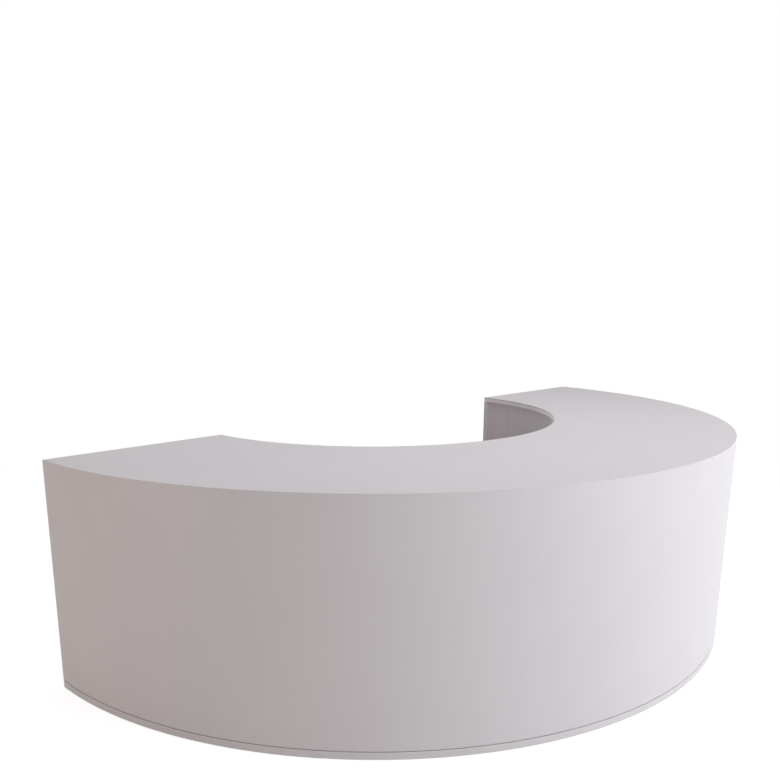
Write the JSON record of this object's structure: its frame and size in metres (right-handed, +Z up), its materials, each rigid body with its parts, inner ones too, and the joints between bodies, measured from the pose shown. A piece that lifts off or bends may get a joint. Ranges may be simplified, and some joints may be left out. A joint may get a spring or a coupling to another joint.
{
  "type": "round buffet counter",
  "caption": "Half-ring buffet counter with a flat top, closed curved walls, a fine shadow joint above its base board and screw-in levelling feet; staff stand in the bay behind it.",
  "frame": {"origin": "on the floor under the middle of the counter's bounding box; the ring's own axis stands at y = +0.75 m", "axes": "+Z up; -Y towards the guests, on the convex side; +Y towards the staff bay; +X along the diameter"},
  "size_m": [3, 1.5, 0.82],
  "materials": {
    "white_laminate": "satin white laminate",
    "white_skin": "flexible board faced in satin white",
    "white_flexible_board": "flexible board painted white",
    "white_board": "fibreboard painted satin white",
    "birch_plywood": "bare plywood",
    "beech": "bare beech",
    "zinc_steel": "zinc plated",
    "black_nylon": "moulded nylon"
  },
  "bodies": {
    "counter": {"top_sheet": "white_laminate", "inner_edge_band": "white_laminate", "outer_skin": "white_skin", "inner_skin": "white_flexible_board", "base_board": "white_board", "top_board": "white_board", "left_end_panel": "white_board", "right_end_panel": "white_board", "rib_1": "birch_plywood", "rib_2": "birch_plywood", "rib_3": "birch_plywood", "rib_4": "birch_plywood", "outer_base_former": "birch_plywood", "inner_base_former": "birch_plywood", "outer_middle_former": "birch_plywood", "inner_middle_former": "birch_plywood", "top_dowel_1": "beech", "top_dowel_2": "beech", "top_dowel_3": "beech", "top_dowel_4": "beech", "base_screw_1": "zinc_steel", "base_screw_2": "zinc_steel", "base_screw_3": "zinc_steel", "base_screw_4": "zinc_steel", "base_screw_5": "zinc_steel", "base_screw_6": "zinc_steel", "base_screw_7": "zinc_steel", "base_screw_8": "zinc_steel", "base_screw_9": "zinc_steel", "base_screw_10": "zinc_steel", "base_screw_11": "zinc_steel", "base_screw_12": "zinc_steel", "tee_nut_1": "zinc_steel", "tee_nut_2": "zinc_steel", "tee_nut_3": "zinc_steel", "tee_nut_4": "zinc_steel", "tee_nut_5": "zinc_steel", "tee_nut_6": "zinc_steel", "tee_nut_7": "zinc_steel", "tee_nut_8": "zinc_steel"},
    "foot_1": {"foot_pad_1": "black_nylon", "foot_stem_1": "zinc_steel"},
    "foot_2": {"foot_pad_2": "black_nylon", "foot_stem_2": "zinc_steel"},
    "foot_3": {"foot_pad_3": "black_nylon", "foot_stem_3": "zinc_steel"},
    "foot_4": {"foot_pad_4": "black_nylon", "foot_stem_4": "zinc_steel"},
    "foot_5": {"foot_pad_5": "black_nylon", "foot_stem_5": "zinc_steel"},
    "foot_6": {"foot_pad_6": "black_nylon", "foot_stem_6": "zinc_steel"},
    "foot_7": {"foot_pad_7": "black_nylon", "foot_stem_7": "zinc_steel"},
    "foot_8": {"foot_pad_8": "black_nylon", "foot_stem_8": "zinc_steel"}
  },
  "joints": [
    {"name": "foot_1_lift", "type": "slide", "parent": "counter", "child": "foot_1", "axis": [0, 0, -1], "range_m": [0, 0.012]},
    {"name": "foot_2_lift", "type": "slide", "parent": "counter", "child": "foot_2", "axis": [0, 0, -1], "range_m": [0, 0.012]},
    {"name": "foot_3_lift", "type": "slide", "parent": "counter", "child": "foot_3", "axis": [0, 0, -1], "range_m": [0, 0.012]},
    {"name": "foot_4_lift", "type": "slide", "parent": "counter", "child": "foot_4", "axis": [0, 0, -1], "range_m": [0, 0.012]},
    {"name": "foot_5_lift", "type": "slide", "parent": "counter", "child": "foot_5", "axis": [0, 0, -1], "range_m": [0, 0.012]},
    {"name": "foot_6_lift", "type": "slide", "parent": "counter", "child": "foot_6", "axis": [0, 0, -1], "range_m": [0, 0.012]},
    {"name": "foot_7_lift", "type": "slide", "parent": "counter", "child": "foot_7", "axis": [0, 0, -1], "range_m": [0, 0.012]},
    {"name": "foot_8_lift", "type": "slide", "parent": "counter", "child": "foot_8", "axis": [0, 0, -1], "range_m": [0, 0.012]}
  ]
}
